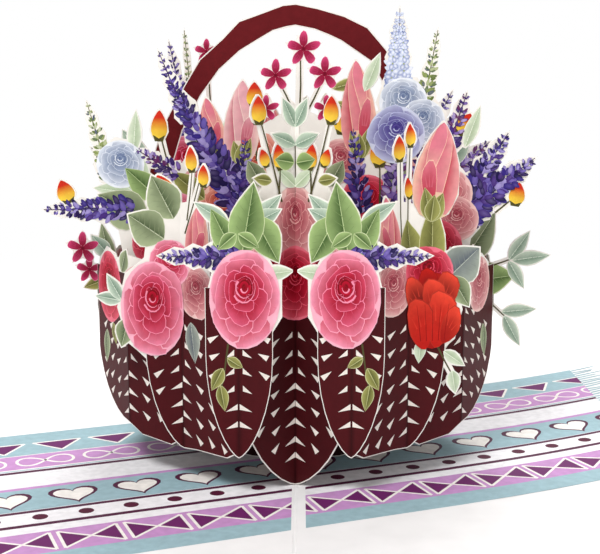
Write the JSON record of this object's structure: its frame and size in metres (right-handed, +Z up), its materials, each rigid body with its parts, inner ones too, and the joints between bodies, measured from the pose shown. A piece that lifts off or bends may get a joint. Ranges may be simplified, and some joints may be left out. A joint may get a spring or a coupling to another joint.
{
  "type": "pop up card",
  "caption": "Pop-up greeting card standing open: a maroon paper basket full of die-cut roses, lavender and leaves under an arched handle, over a folkloric printed border.",
  "frame": {"origin": "underside of the open card, on the fold, halfway along it", "axes": "+X along the width of the open card to the right, +Y away from the viewer along the fold, +Z up"},
  "size_m": [0.3, 0.2, 0.1444],
  "materials": {
    "cover": "matt white card with a printed border",
    "printed_sheet": "satin printed paper with white die-cut edges",
    "handle_sheet": "satin printed paper, maroon"
  },
  "bodies": {
    "root": {"back_centre_sheet": "printed_sheet", "back_left_sheet_1": "printed_sheet", "back_left_sheet_2": "printed_sheet", "back_left_sheet_3": "printed_sheet", "back_right_sheet_1": "printed_sheet", "back_right_sheet_2": "printed_sheet", "back_right_sheet_3": "printed_sheet", "back_row_sheet": "printed_sheet", "card": "cover", "front_centre_sheet": "printed_sheet", "front_left_sheet_1": "printed_sheet", "front_left_sheet_2": "printed_sheet", "front_left_sheet_3": "printed_sheet", "front_right_sheet_1": "printed_sheet", "front_right_sheet_2": "printed_sheet", "front_right_sheet_3": "printed_sheet", "front_row_sheet": "printed_sheet", "handle_sheet": "handle_sheet"}
  },
  "joints": []
}
